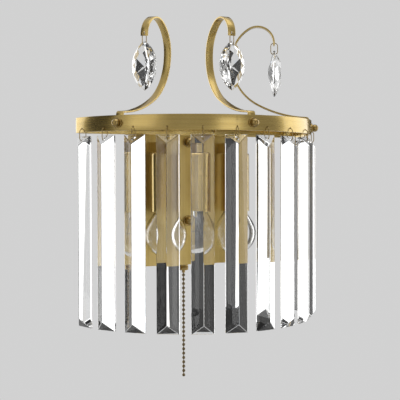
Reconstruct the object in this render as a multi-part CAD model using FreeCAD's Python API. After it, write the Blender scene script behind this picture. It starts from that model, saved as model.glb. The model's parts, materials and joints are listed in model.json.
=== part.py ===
import FreeCAD, Part
import math
import os

Vector = FreeCAD.Vector
UP = Vector(0, 0, 1)
OUT = Vector(0, -1, 0)        # away from the wall
RIGHT = Vector(1, 0, 0)

# Crystal wall sconce. The wall is the plane Y = 0 and the sconce stands out towards -Y.
# The origin is on the wall, midway between the two mounting studs. Lengths are in mm, angles in degrees.

cut_over = 1.0                # how far a cutter runs past the face it opens
touch = 0.01                  # two places closer than this are the same

# --- wall plate and what holds it ---
plate_width = 144.0
plate_height = 150.0
plate_top = 62.0              # height of the plate's upper edge
plate_depth = 20.0
plate_wall = 1.2
plate_edge_radius = 1.6
box_inset = 12.0              # from the plate's side edges to the sides of the box behind it
stud_spacing = 83.0
stud_radius = 2.0
stud_reach = 5.0              # how far a stud stands out of the plate
thread_clearance = 0.05
hole_clearance = 0.2
driver_slot_width = 0.9
driver_slot_depth = 0.9
strap_width = 20.0
strap_length = 105.0
strap_thickness = 2.0
strap_corner_radius = 4.0
wall_hole_spacing = 60.0
wall_hole_radius = 2.5
cable_hole_radius = 5.0
plate_nut_radius = 5.6
plate_nut_base = 1.6
plate_nut_neck = 3.5
plate_dome_radius = 4.4
plate_nut_height = 9.0
nut_edge_round = 0.5
nut_end_gap = 0.6             # thread left beyond the end of the screw

# --- ring that carries the crystals ---
ring_radius = 130.0           # outer face of the half-round front
band_thickness = 2.0
band_height = 15.0
band_bottom = 48.0
corner_radius = 10.0
bar_screw_spread = 31.0       # each side of the middle
bar_screw_radius = 1.75
bar_head_radius = 3.4
bar_head_height = 2.0
bar_screw_length = 8.0

# --- hanging crystal bars ---
prism_count = 12
prism_pitch = 14.7            # degrees between neighbours
prism_width = 22.0
prism_length = 187.0
prism_side = 1.5              # thickness of the upright side walls
prism_ridge = 8.5             # from the flat back to the ridge
prism_bevel = 9.0             # length of the sloped end facets
prism_back_inset = 2.9        # flat back, inside the ring's mid line
prism_hole_radius = 1.6
prism_hole_drop = 4.1
hook_hole_radius = 0.9
hook_hole_rise = 3.7          # above the lower edge of the ring
hook_wire_radius = 0.4
hook_bend_radius = 3.6
hook_height = 12.3            # mid line of the wire, top to bottom
hook_seat = 0.7               # wire below the middle of the hole it hangs in

# --- scrolls on top of the ring ---
scroll_names = ("left", "front", "right")
scroll_angles = (-58.8, 0.0, 58.8)
scroll_leans = (3.3, 0.0, 0.0)     # degrees that each arm has turned on its screw
scroll_width = 8.0
scroll_thickness = 1.8
scroll_rise = 3.2             # mid line of the strip above the ring
scroll_foot_bend = 2.4
scroll_foot_drop = 13.0       # length of the tab behind the ring
scroll_foot_gap = 0.1
scroll_flat = 3.4
scroll_slope_angle = 4.0      # the strip over the ring, rising outwards
scroll_back_radius = 118.0
scroll_shoulder_radius = 51.0
scroll_crown_radius = 38.0
scroll_curl_radius = 17.4
scroll_turns = (24.5, 70.0, 49.0, 131.0)
scroll_hole_radius = 1.2
scroll_hole_inset = 3.0
ring_screw_radius = 2.0
ring_screw_head = 3.6
ring_screw_head_height = 2.2
ring_screw_reach = 4.1        # past the outer face of the ring
ring_nut_radius = 4.9
ring_nut_base = 1.4
ring_nut_neck = 3.1
ring_dome_radius = 3.9
ring_nut_height = 7.6

# --- pendants under the scrolls ---
pendant_height = 48.0
pendant_width = 28.0
pendant_thickness = 13.4
pendant_hole_drop = 3.5
pendant_hole_radius = 1.4
pendant_sides = 14
pendant_tiers = ((1.0, 0.10), (0.72, 0.66), (0.40, 1.0))     # shares of the outline and of the thickness

# --- lamps ---
lamp_spread = 41.0
lamp_reach = 28.5             # lamp axis in front of the plate
arm_width = 9.0
arm_height = 10.5
arm_bottom = 29.7
arm_nose = 7.0                # arm beyond the lamp axis
arm_edge_round = 1.0
wire_way_radius = 2.6
sleeve_radius = 15.0
sleeve_wall = 1.0
sleeve_height = 61.0
sleeve_round = 3.0
holder_radius = 13.2
holder_shoulder = 2.6
holder_gap = 0.8              # under the sleeve's top
holder_recess = 9.2           # above the sleeve's lower edge
holder_bore = 7.5
holder_bore_depth = 22.0
nipple_radius = 3.4
nipple_bore = 2.2
cap_radius = 7.0
cap_height = 21.0
cap_wall = 0.5
cap_shoulder = 3.4
cap_contact_radius = 2.4
cap_contact_height = 1.8
cap_contact_gap = 0.2
bulb_radius = 22.0
bulb_drop = 23.2              # middle of the globe under the sleeve's lower edge
bulb_neck_radius = 6.3
bulb_neck_length = 6.0
bulb_wall = 0.8
stem_radius = 2.2
stem_length = 20.0
stem_rise = 3.0               # into the neck
stem_lead_radius = 0.35
stem_lead_spread = 1.1
stem_lead_root = 2.0          # inside the stem
filament_spread = 9.0
filament_drop = 13.0
filament_radius = 0.45
filament_clamp_radius = 0.6

# --- pull switch and chain ---
switch_width = 22.0
switch_height = 24.0
switch_depth = 16.0
switch_wall = 1.2
switch_corner_radius = 1.5
switch_thread_radius = 4.0
switch_nut_radius = 5.2
switch_nut_height = 6.8
switch_nut_round = 0.9
pull_bore = 1.9
pull_rod_radius = 1.1
pull_collar_radius = 4.2
pull_collar_height = 1.6
pull_collar_gap = 5.4         # left for the closed spring when the rod is fully down
pull_travel = 8.0
pull_fork_radius = 1.7
pull_fork_height = 4.1
pull_fork_rise = 2.9          # top of the fork above its pin
pull_slot_width = 1.5
pull_slot_gap = 0.3           # over the chain's eye
pull_pin_radius = 0.55
pull_pin_half = 1.5
pull_pin_drop = 1.6           # pin below the thread's end
chain_eye_radius = 1.25
chain_eye_width = 1.1
chain_wire_root = 1.0         # start of the chain's wire under the pin, in the eye
chain_bead_radius = 1.7
chain_pitch = 4.66
chain_beads = 24
chain_wire_radius = 0.5
chain_lead = 3.6              # from the pin to the first bead
spring_wire_radius = 0.35
spring_radius = 2.6
spring_turns = 6

# --- wiring ---
block_width = 28.0
block_height = 14.0
block_depth = 13.0
block_bottom = 10.0
block_ways = 3
block_hole_radius = 2.0
block_hole_depth = 5.5
lead_wire_radius = 0.9
lead_bend = 4.0
switch_lead_spread = 5.0

# --- places worked out from the sizes above ---
plate_front = -plate_depth
ring_middle = Vector(0, plate_front, 0)
mid_radius = ring_radius - band_thickness / 2
hook_hole_z = band_bottom + hook_hole_rise
hook_axis_z = hook_hole_z - hook_bend_radius
band_middle = band_bottom + band_height / 2
band_top = band_bottom + band_height
lamp_y = plate_front - lamp_reach
arm_middle = arm_bottom + arm_height / 2
sleeve_bottom = arm_bottom - sleeve_height
holder_top = arm_bottom - sleeve_wall - holder_gap
holder_bottom = sleeve_bottom + holder_recess
holder_bore_top = holder_bottom + holder_bore_depth
cap_top = holder_bore_top - cap_contact_gap - cap_contact_height
cap_bottom = cap_top - cap_height
bulb_centre = sleeve_bottom - bulb_drop
plate_bottom = plate_top - plate_height
pull_y = plate_front / 2
switch_floor = plate_bottom + plate_wall
thread_end = plate_bottom - switch_nut_height
pin_z = thread_end - pull_pin_drop
collar_bottom = switch_floor + switch_wall + pull_travel + pull_collar_gap
prism_top = hook_hole_z - hook_height + hook_seat + prism_hole_drop
scroll_tab_radius = ring_radius - band_thickness - scroll_foot_gap - scroll_thickness / 2


def at_ring(shape, angle):
    """Turn a piece made at the front of the ring round to its own place."""
    placed = shape.copy()
    placed.rotate(ring_middle, UP, angle)
    return placed


def rod(radius, length, start, direction):
    return Part.makeCylinder(radius, length, start, direction)


def block(low, high):
    size = high - low
    return Part.makeBox(size.x, size.y, size.z, low)


def polygon_face(points):
    return Part.Face(Part.makePolygon(list(points) + [points[0]]))


def straight_edges(solid, direction):
    """Edges of the solid that run along the direction."""
    found = []
    for edge in solid.Edges:
        along = edge.Vertexes[-1].Point - edge.Vertexes[0].Point
        if along.Length > touch and along.cross(direction).Length < touch:
            found.append(edge)
    return found


def rims(solid, level):
    """Closed edges of the solid at one height."""
    return [edge for edge in solid.Edges if edge.isClosed() and abs(edge.CenterOfMass.z - level) < touch]


def rounded_route(points, bend):
    """A wire of straight runs joined by tangent arcs."""
    edges = []
    start = points[0]
    for before, corner, after in zip(points, points[1:], points[2:]):
        inward = (before - corner).normalize()
        outward = (after - corner).normalize()
        half_turn = (math.pi - inward.getAngle(outward)) / 2
        trim = bend * math.tan(half_turn)
        first = corner + inward * trim
        last = corner + outward * trim
        to_middle = (inward + outward).normalize()
        middle = corner + to_middle * (bend / math.cos(half_turn) - bend)
        edges.append(Part.LineSegment(start, first).toShape())
        edges.append(Part.Arc(first, middle, last).toShape())
        start = last
    edges.append(Part.LineSegment(start, points[-1]).toShape())
    return Part.Wire(edges)


def tube_along(points, bend, radius):
    route = rounded_route(points, bend)
    section = Part.Wire(Part.makeCircle(radius, points[0], points[1] - points[0]))
    return route.makePipeShell([section], True, True)


def wire_link(height):
    """Closed oval of wire in the upright plane X = 0, its upper bend centred on the origin."""
    drop = Vector(0, 0, hook_bend_radius * 2 - height)
    side = Vector(0, hook_bend_radius, 0)
    lift = Vector(0, 0, hook_bend_radius)
    route = Part.Wire([
        Part.Arc(side, lift, -side).toShape(),
        Part.LineSegment(-side, drop - side).toShape(),
        Part.Arc(drop - side, drop - lift, drop + side).toShape(),
        Part.LineSegment(drop + side, side).toShape(),
    ])
    section = Part.Wire(Part.makeCircle(hook_wire_radius, side, UP))
    return route.makePipeShell([section], True, True)


def cap_nut(flange_radius, flange_height, neck_radius, ball_radius, height, thread_radius, thread_depth):
    """Ball-headed cap nut standing on the origin along +Z, with a blind thread."""
    flange = Part.makeCylinder(flange_radius, flange_height)
    flange = flange.makeFillet(nut_edge_round, rims(flange, flange_height))
    ball_middle = height - ball_radius
    neck = Part.makeCylinder(neck_radius, ball_middle)
    ball = Part.makeSphere(ball_radius, Vector(0, 0, ball_middle))
    ball = ball.common(Part.makeCylinder(ball_radius, height, Vector(0, 0, flange_height)))
    nut = flange.fuse([neck, ball]).removeSplitter()
    return nut.cut(Part.makeCylinder(thread_radius, thread_depth))


def screw(radius, length, head_radius, head_height):
    """Round-headed screw: the head's flat side on the origin, the shank along -Z."""
    shank = Part.makeCylinder(radius, length, Vector(0, 0, -length))
    crown_radius = (head_radius ** 2 + head_height ** 2) / (2 * head_height)
    crown = Part.makeSphere(crown_radius, Vector(0, 0, head_height - crown_radius))
    head = Part.makeCylinder(head_radius, head_height).common(crown)
    slot = block(Vector(-head_radius, -driver_slot_width / 2, head_height - driver_slot_depth),
                 Vector(head_radius, driver_slot_width / 2, head_height + cut_over))
    return shank.fuse(head.cut(slot)).removeSplitter()


def pointed(shape, tip, direction):
    """Move a piece built along +Z so that it stands on tip and points along direction."""
    placed = shape.copy()
    placed.Placement = FreeCAD.Placement(tip, FreeCAD.Rotation(UP, direction))
    return placed


# ---------- wall side ----------
def stud_places():
    return [Vector(0, 0, side * stud_spacing / 2) for side in (1, -1)]


def make_wall_strap():
    strap = block(Vector(-strap_width / 2, -strap_thickness, -strap_length / 2),
                  Vector(strap_width / 2, 0, strap_length / 2))
    strap = strap.makeFillet(strap_corner_radius, straight_edges(strap, OUT))
    holes = [rod(cable_hole_radius, strap_thickness, Vector(0, 0, 0), OUT)]
    for side in (1, -1):
        centre = Vector(0, 0, side * wall_hole_spacing / 2)
        holes.append(rod(wall_hole_radius, strap_thickness, centre, OUT))
    for place in stud_places():
        holes.append(rod(stud_radius + thread_clearance, strap_thickness, place, OUT))
    return strap.cut(holes)


def make_mounting_studs():
    length = plate_depth + stud_reach
    return Part.Compound([rod(stud_radius, length, place, OUT) for place in stud_places()])


def make_plate_cap_nuts():
    nut = cap_nut(plate_nut_radius, plate_nut_base, plate_nut_neck, plate_dome_radius, plate_nut_height,
                  stud_radius + thread_clearance, stud_reach + nut_end_gap)
    front = Vector(0, plate_front, 0)
    return Part.Compound([pointed(nut, place + front, OUT) for place in stud_places()])


def make_backplate():
    """Flat front sheet with a narrower box behind it, which is open at the wall."""
    half = plate_width / 2
    half_box = half - box_inset
    wall = plate_wall
    sheet = block(Vector(-half, plate_front, plate_bottom), Vector(half, plate_front + wall, plate_top))
    sheet = sheet.makeFillet(plate_edge_radius, straight_edges(sheet, OUT))
    box = block(Vector(-half_box, plate_front, plate_bottom), Vector(half_box, 0, plate_top))
    hollow = block(Vector(-half_box + wall, plate_front + wall, plate_bottom + wall),
                   Vector(half_box - wall, cut_over, plate_top - wall))
    holes = [hollow]
    through = plate_depth + cut_over
    for place in stud_places():
        holes.append(rod(stud_radius + hole_clearance, through, place, OUT))
    for side in (1, -1):
        screw_place = Vector(side * bar_screw_spread, 0, band_middle)
        holes.append(rod(bar_screw_radius + thread_clearance, through, screw_place, OUT))
        wire_place = Vector(side * lamp_spread, 0, arm_middle)
        holes.append(rod(wire_way_radius, through, wire_place, OUT))
    thread_place = Vector(0, pull_y, plate_bottom - cut_over)
    holes.append(rod(switch_thread_radius + hole_clearance, wall + 2 * cut_over, thread_place, UP))
    return sheet.fuse(box).removeSplitter().cut(holes)


# ---------- ring ----------
def ring_outline(radius, chord_y, corner, bottom, height):
    """Upright solid with a half-round front, a straight back and rounded corners."""
    half = math.sqrt(radius ** 2 - (chord_y - ring_middle.y) ** 2)
    left = Vector(-half, chord_y, bottom)
    right = Vector(half, chord_y, bottom)
    nose = Vector(0, ring_middle.y - radius, bottom)
    outline = Part.Wire([Part.Arc(left, nose, right).toShape(), Part.LineSegment(right, left).toShape()])
    solid = Part.Face(outline).extrude(Vector(0, 0, height))
    return solid.makeFillet(corner, straight_edges(solid, UP))


def prism_angles():
    middle = (prism_count - 1) / 2
    return [(number - middle) * prism_pitch for number in range(prism_count)]


def bar_screw_places():
    return [Vector(side * bar_screw_spread, plate_front - band_thickness, band_middle) for side in (1, -1)]


def make_ring_hoop():
    outer = ring_outline(ring_radius, plate_front, corner_radius, band_bottom, band_height)
    inner = ring_outline(ring_radius - band_thickness, plate_front - band_thickness,
                         corner_radius - band_thickness, band_bottom - cut_over, band_height + 2 * cut_over)
    holes = [inner]
    inside = plate_front - ring_radius + band_thickness + cut_over
    through = band_thickness + 2 * cut_over
    for angle in prism_angles():
        drill = rod(hook_hole_radius, through, Vector(0, inside, hook_hole_z), OUT)
        holes.append(at_ring(drill, angle))
    for angle in scroll_angles:
        drill = rod(ring_screw_radius + hole_clearance, through, Vector(0, inside, band_middle), OUT)
        holes.append(at_ring(drill, angle))
    for place in bar_screw_places():
        holes.append(rod(bar_screw_radius + hole_clearance, through, place + OUT * cut_over, -OUT))
    return outer.cut(holes)


def make_ring_bar_screws():
    one = screw(bar_screw_radius, bar_screw_length, bar_head_radius, bar_head_height)
    return Part.Compound([pointed(one, place, OUT) for place in bar_screw_places()])


# ---------- crystal bars ----------
def make_prism(angle):
    bottom = prism_top - prism_length
    back = plate_front - mid_radius + prism_back_inset
    side = back - prism_side
    ridge = back - prism_ridge
    half = prism_width / 2
    section = [(-half, back), (half, back), (half, side), (0, ridge), (-half, side)]
    bar = polygon_face([Vector(x, y, bottom) for x, y in section]).extrude(Vector(0, 0, prism_length))
    slope = prism_bevel / (prism_ridge - prism_side)
    beyond = ridge - cut_over
    start = -half - cut_over
    for end, inward in ((prism_top, -1), (bottom, 1)):
        outside = end - inward * cut_over
        deep = end + inward * slope * (side - beyond)
        corners = [(side, end), (side, outside), (beyond, outside), (beyond, deep)]
        wedge = polygon_face([Vector(start, y, z) for y, z in corners])
        bar = bar.cut(wedge.extrude(Vector(prism_width + 2 * cut_over, 0, 0)))
    hole_start = Vector(0, back + cut_over, prism_top - prism_hole_drop)
    hole = rod(prism_hole_radius, prism_ridge + 2 * cut_over, hole_start, OUT)
    return at_ring(bar.cut(hole), angle)


def make_prism_hook(angle):
    link = wire_link(hook_height)
    link.translate(Vector(0, plate_front - mid_radius, hook_axis_z))
    return at_ring(link, angle)


# ---------- scrolls ----------
def scroll_moves():
    """The strip from the lower end of its tab: (length, 0) is a straight run, (radius, degrees) a bend."""
    tab = (scroll_foot_drop, 0)
    foot = (scroll_foot_bend, scroll_slope_angle - 90.0)
    radii = (scroll_back_radius, scroll_shoulder_radius, scroll_crown_radius, scroll_curl_radius)
    return [tab, foot, (scroll_flat, 0)] + list(zip(radii, scroll_turns))


def strip_side(offset):
    """Edges along one face of the strip, with the mid line's end point and its heading there."""
    tab_end = band_top + scroll_rise - scroll_foot_bend - scroll_foot_drop
    spot = Vector(0, plate_front - scroll_tab_radius, tab_end)
    heading = math.radians(90)
    edges = []
    for size, sweep in scroll_moves():
        along = Vector(0, math.cos(heading), math.sin(heading))
        normal = Vector(0, -math.sin(heading), math.cos(heading))
        if sweep == 0:
            after = spot + along * size
            edges.append(Part.LineSegment(spot + normal * offset, after + normal * offset).toShape())
            spot = after
            continue
        turn = math.radians(sweep)
        centre = spot + normal * math.copysign(size, sweep)
        to_side = spot + normal * offset - centre
        turned = [centre + rotated(to_side, turn * share) for share in (0.0, 0.5, 1.0)]
        edges.append(Part.Arc(*turned).toShape())
        spot = centre + rotated(spot - centre, turn)
        heading += turn
    return edges, spot, heading


def rotated(vector, turn):
    """Turn a vector in the upright plane that faces sideways."""
    along = vector.y * math.cos(turn) - vector.z * math.sin(turn)
    upward = vector.y * math.sin(turn) + vector.z * math.cos(turn)
    return Vector(0, along, upward)


def scroll_end():
    """Middle of the hole near the strip's free end, and the direction of the hole."""
    edges, spot, heading = strip_side(0)
    back = Vector(0, -math.cos(heading), -math.sin(heading))
    return spot + back * scroll_hole_inset, Vector(0, -math.sin(heading), math.cos(heading))


def leaned(shape, lean):
    """Turn a scroll about the screw that holds its foot."""
    turned = shape.copy()
    turned.rotate(Vector(0, 0, band_middle), -OUT, lean)
    return turned


def leaned_point(point, lean):
    turn = math.radians(lean)
    rise = point.z - band_middle
    return Vector(rise * math.sin(turn), point.y, band_middle + rise * math.cos(turn))


def make_scroll(angle, lean):
    outer, spot, heading = strip_side(scroll_thickness / 2)
    inner, spot, heading = strip_side(-scroll_thickness / 2)
    start = Part.LineSegment(outer[0].Vertexes[0].Point, inner[0].Vertexes[0].Point).toShape()
    end = Part.LineSegment(outer[-1].Vertexes[-1].Point, inner[-1].Vertexes[-1].Point).toShape()
    outline = Part.Wire(Part.__sortEdges__(outer + inner + [start, end]))
    strip = Part.Face(outline).extrude(RIGHT * scroll_width)
    strip.translate(RIGHT * (-scroll_width / 2))
    hole, across = scroll_end()
    half_drill = scroll_thickness / 2 + cut_over
    drill = rod(scroll_hole_radius, 2 * half_drill, hole - across * half_drill, across)
    screw_start = Vector(0, plate_front - scroll_tab_radius + half_drill, band_middle)
    screw_drill = rod(ring_screw_radius + hole_clearance, 2 * half_drill, screw_start, OUT)
    strip = strip.cut([drill, screw_drill])
    return at_ring(leaned(strip, lean), angle)


def make_scroll_screws():
    head_face = Vector(0, plate_front - scroll_tab_radius + scroll_thickness / 2, band_middle)
    length = band_thickness + scroll_thickness + scroll_foot_gap + ring_screw_reach
    one = screw(ring_screw_radius, length, ring_screw_head, ring_screw_head_height)
    return Part.Compound([at_ring(pointed(one, head_face, -OUT), angle) for angle in scroll_angles])


def make_scroll_cap_nuts():
    nut = cap_nut(ring_nut_radius, ring_nut_base, ring_nut_neck, ring_dome_radius, ring_nut_height,
                  ring_screw_radius + thread_clearance, ring_screw_reach + nut_end_gap)
    seat = Vector(0, plate_front - ring_radius, band_middle)
    return Part.Compound([at_ring(pointed(nut, seat, OUT), angle) for angle in scroll_angles])


# ---------- pendants ----------
def pendant_axis(lean):
    """Point that a pendant swings about, under the hole in its scroll."""
    hole, across = scroll_end()
    return leaned_point(hole, lean) - UP * hook_bend_radius


def make_pendant_ring(angle, lean):
    link = wire_link(hook_height)
    link.translate(pendant_axis(lean))
    return at_ring(link, angle)


def pendant_outline(scale, y, centre):
    """Pointed oval in the plane facing the room, made of straight sides."""
    half_height = pendant_height / 2 * scale
    half_width = pendant_width / 2 * scale
    arc_radius = (half_height ** 2 + half_width ** 2) / (2 * half_width)
    points = []
    half_sides = pendant_sides // 2
    for side in (1, -1):
        for step in range(half_sides):
            z = half_height * math.cos(math.pi * step / half_sides) * side
            x = (math.sqrt(arc_radius ** 2 - z ** 2) - (arc_radius - half_width)) * side
            points.append(centre + Vector(x, y, z))
    return Part.makePolygon(points + [points[0]])


def make_pendant(angle, lean):
    axis = pendant_axis(lean)
    top = axis.z + hook_bend_radius - hook_height + hook_seat + pendant_hole_drop
    centre = Vector(axis.x, axis.y, top - pendant_height / 2)
    half = pendant_thickness / 2
    outlines = [pendant_outline(scale, -depth * half, centre) for scale, depth in reversed(pendant_tiers)]
    outlines += [pendant_outline(scale, depth * half, centre) for scale, depth in pendant_tiers]
    crystal = Part.makeLoft(outlines, True, True)
    hole = rod(pendant_hole_radius, pendant_thickness * 2,
               Vector(axis.x, axis.y + pendant_thickness, top - pendant_hole_drop), OUT)
    return at_ring(crystal.cut(hole), angle)


# ---------- lamps ----------
def lamp_place(side):
    return Vector(side * lamp_spread, lamp_y, 0)


def ring_section(points, place):
    """Solid of revolution about an upright line, from (radius, height) points."""
    section = polygon_face([Vector(radius, 0, height) for radius, height in points])
    solid = section.revolve(Vector(0, 0, 0), UP, 360)
    solid.translate(place)
    return solid


def make_lamp_arm(side):
    place = lamp_place(side)
    low = Vector(place.x - arm_width / 2, lamp_y - arm_nose, arm_bottom)
    high = Vector(place.x + arm_width / 2, plate_front, arm_bottom + arm_height)
    arm = block(low, high)
    nose = [edge for edge in arm.Edges if abs(edge.CenterOfMass.y - low.y) < touch]
    arm = arm.makeFillet(arm_edge_round, nose)
    wire_way = rod(wire_way_radius, lamp_reach, Vector(place.x, plate_front, arm_middle), OUT)
    nipple_hole = rod(nipple_radius + thread_clearance, arm_middle - arm_bottom, place + UP * arm_bottom, UP)
    return arm.cut([wire_way, nipple_hole])


def make_lamp_sleeve(side):
    inner = sleeve_radius - sleeve_wall
    tube = Part.makeCylinder(sleeve_radius, sleeve_height)
    tube = tube.makeFillet(sleeve_round, rims(tube, sleeve_height))
    ceiling = sleeve_height - sleeve_wall
    hollow = Part.makeCylinder(inner, ceiling)
    hollow = hollow.makeFillet(sleeve_round - sleeve_wall, rims(hollow, ceiling))
    nipple_hole = rod(nipple_radius + thread_clearance, 2 * sleeve_wall, Vector(0, 0, sleeve_height), -UP)
    sleeve = tube.cut([hollow, nipple_hole])
    sleeve.translate(lamp_place(side) + UP * sleeve_bottom)
    return sleeve


def make_lampholder(side):
    nipple_top = arm_middle - wire_way_radius
    points = [(nipple_bore, nipple_top), (nipple_radius, nipple_top), (nipple_radius, holder_top),
              (holder_radius - holder_shoulder, holder_top), (holder_radius, holder_top - holder_shoulder),
              (holder_radius, holder_bottom), (holder_bore, holder_bottom), (holder_bore, holder_bore_top),
              (nipple_bore, holder_bore_top)]
    return ring_section(points, lamp_place(side))


def on_globe(radius, lean):
    """Point of the globe's outline, with the lean measured from straight up."""
    return Vector(radius * math.sin(lean), 0, radius * math.cos(lean))


def bulb_side(inset):
    """Edges from the neck's open end down to the bottom of the globe, for the outer or inner face."""
    radius = bulb_radius - inset
    neck = bulb_neck_radius - inset
    rise = cap_bottom - bulb_centre
    lean = math.atan2(neck, rise) + math.acos(radius / math.hypot(neck, rise))
    open_end = Vector(neck, 0, rise + bulb_neck_length)
    shoulder = Vector(neck, 0, rise)
    tangent = on_globe(radius, lean)
    bottom = Vector(0, 0, -radius)
    return [Part.LineSegment(open_end, shoulder).toShape(), Part.LineSegment(shoulder, tangent).toShape(),
            Part.Arc(tangent, on_globe(radius, (lean + math.pi) / 2), bottom).toShape()]


def make_bulb_glass(side):
    outer = bulb_side(0)
    inner = bulb_side(bulb_wall)
    rim = Part.LineSegment(outer[0].Vertexes[0].Point, inner[0].Vertexes[0].Point).toShape()
    pole = Part.LineSegment(outer[-1].Vertexes[-1].Point, inner[-1].Vertexes[-1].Point).toShape()
    section = Part.Face(Part.Wire(Part.__sortEdges__(outer + inner + [rim, pole])))
    glass = section.revolve(Vector(0, 0, 0), UP, 360)
    glass.translate(lamp_place(side) + UP * bulb_centre)
    return glass


def make_bulb_cap(side):
    inner = cap_radius - cap_wall
    shoulder = cap_top - cap_shoulder
    contact_top = cap_top + cap_contact_height
    points = [(cap_radius, cap_bottom), (inner, cap_bottom), (inner, shoulder),
              (cap_contact_radius - cap_wall, cap_top - cap_wall), (0, cap_top - cap_wall), (0, contact_top),
              (cap_contact_radius, contact_top), (cap_contact_radius, cap_top), (cap_radius, shoulder)]
    return ring_section(points, lamp_place(side))


def make_bulb_filament(side):
    foot = cap_bottom + stem_rise - stem_length
    stem = rod(stem_radius, stem_length, Vector(0, 0, foot), UP)
    pieces = []
    for way in (1, -1):
        inner_end = Vector(way * stem_lead_spread, 0, foot + stem_lead_root)
        outer_end = Vector(way * filament_spread, 0, foot - filament_drop)
        run = outer_end - inner_end
        pieces.append(rod(stem_lead_radius, run.Length, inner_end, run))
        pieces.append(Part.makeSphere(filament_clamp_radius, outer_end))
    left = Vector(-filament_spread, 0, foot - filament_drop)
    pieces.append(rod(filament_radius, 2 * filament_spread, left, RIGHT))
    whole = stem.fuse(pieces).removeSplitter()
    whole.translate(lamp_place(side))
    return whole


# ---------- pull switch ----------
def make_switch_housing():
    half = switch_width / 2
    back = pull_y + switch_depth / 2
    front = pull_y - switch_depth / 2
    top = switch_floor + switch_height
    case = block(Vector(-half, front, switch_floor), Vector(half, back, top))
    case = case.makeFillet(switch_corner_radius, straight_edges(case, UP))
    wall = switch_wall
    hollow = block(Vector(-half + wall, front + wall, switch_floor + wall),
                   Vector(half - wall, back - wall, top - wall))
    place = Vector(0, pull_y, thread_end)
    thread = rod(switch_thread_radius, switch_floor - thread_end + wall, place, UP)
    bore = rod(pull_bore, switch_floor - thread_end + 2 * wall, place, UP)
    leads = []
    for side in (1, -1):
        lead = Vector(side * switch_lead_spread, pull_y, top - 2 * wall)
        leads.append(rod(lead_wire_radius + thread_clearance, 3 * wall, lead, UP))
    return case.cut(hollow).fuse(thread).removeSplitter().cut([bore] + leads)


def make_switch_nut():
    place = Vector(0, pull_y, thread_end)
    nut = rod(switch_nut_radius, switch_nut_height, place, UP)
    nut = nut.makeFillet(switch_nut_round, rims(nut, thread_end))
    return nut.cut(rod(switch_thread_radius + thread_clearance, switch_nut_height, place, UP))


def make_pull_rod():
    place = Vector(0, pull_y, 0)
    fork_top = pin_z + pull_fork_rise
    fork_low = fork_top - pull_fork_height
    slot_top = pin_z + chain_eye_radius + pull_slot_gap
    stem_low = (slot_top + fork_top) / 2
    stem = rod(pull_rod_radius, collar_bottom + pull_collar_height - stem_low, place + UP * stem_low, UP)
    collar = rod(pull_collar_radius, pull_collar_height, place + UP * collar_bottom, UP)
    fork = rod(pull_fork_radius, pull_fork_height, place + UP * fork_low, UP)
    slot = block(Vector(-pull_fork_radius, pull_y - pull_slot_width / 2, fork_low - cut_over),
                 Vector(pull_fork_radius, pull_y + pull_slot_width / 2, slot_top))
    pin = rod(pull_pin_radius, 2 * pull_pin_half, Vector(0, pull_y + pull_pin_half, pin_z), OUT)
    return fork.cut(slot).fuse([stem, collar, pin]).removeSplitter()


def make_pull_chain():
    """Ball chain: beads and the wire between them are one turned solid, with a flat eye on top."""
    edges = []
    half_wire = math.sqrt(chain_bead_radius ** 2 - chain_wire_radius ** 2)
    start = Vector(chain_wire_radius, 0, -chain_wire_root)
    spot = start
    for number in range(chain_beads):
        centre = -chain_lead - number * chain_pitch
        above = Vector(chain_wire_radius, 0, centre + half_wire)
        side = Vector(chain_bead_radius, 0, centre)
        below = Vector(chain_wire_radius, 0, centre - half_wire)
        if number == chain_beads - 1:
            below = Vector(0, 0, centre - chain_bead_radius)
        edges.append(Part.LineSegment(spot, above).toShape())
        edges.append(Part.Arc(above, side, below).toShape())
        spot = below
    on_axis = Vector(0, 0, start.z)
    edges.append(Part.LineSegment(spot, on_axis).toShape())
    edges.append(Part.LineSegment(on_axis, start).toShape())
    beads = Part.Face(Part.Wire(edges)).revolve(Vector(0, 0, 0), UP, 360)
    eye = rod(chain_eye_radius, chain_eye_width, Vector(0, chain_eye_width / 2, 0), OUT)
    pin_hole = rod(pull_pin_radius + thread_clearance, 2 * chain_eye_width, Vector(0, chain_eye_width, 0), OUT)
    chain = beads.fuse(eye).removeSplitter().cut(pin_hole)
    chain.translate(Vector(0, pull_y, pin_z))
    return chain


def make_switch_spring():
    """Return spring round the pull rod, between the switch floor and the collar."""
    bottom = switch_floor + switch_wall + spring_wire_radius
    height = collar_bottom - spring_wire_radius - bottom
    helix = Part.makeHelix(height / spring_turns, height, spring_radius)
    start = helix.Edges[0].Vertexes[0].Point
    section = Part.Wire(Part.makeCircle(spring_wire_radius, start, -OUT))
    spring = Part.Wire(helix.Edges).makePipeShell([section], True, True)
    spring.translate(Vector(0, pull_y, bottom))
    return spring


# ---------- wiring ----------
def make_terminal_block():
    back_face = plate_front + plate_wall
    half = block_width / 2
    open_face = back_face + block_depth
    body = block(Vector(-half, back_face, block_bottom), Vector(half, open_face, block_bottom + block_height))
    way = block_width / block_ways
    holes = []
    for number in range(block_ways):
        centre = Vector(-half + way * (number + 0.5), open_face + cut_over, block_bottom + block_height / 2)
        holes.append(rod(block_hole_radius, block_hole_depth + cut_over, centre, OUT))
    return body.cut(holes)


def make_lead_wires():
    middle_y = plate_front + plate_wall + block_depth / 2
    block_level = block_bottom + block_height / 2
    block_side = block_width / 2
    wires = []
    for side in (1, -1):
        points = [Vector(side * lamp_spread, lamp_y + nipple_radius, arm_middle),
                  Vector(side * lamp_spread, middle_y, arm_middle),
                  Vector(side * (block_side + 2 * lead_bend), middle_y, block_level),
                  Vector(side * block_side, middle_y, block_level)]
        wires.append(tube_along(points, lead_bend, lead_wire_radius))
        low = Vector(side * switch_lead_spread, pull_y, switch_floor + switch_height - switch_wall)
        wires.append(rod(lead_wire_radius, block_bottom - low.z, low, UP))
    return Part.Compound(wires)


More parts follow.
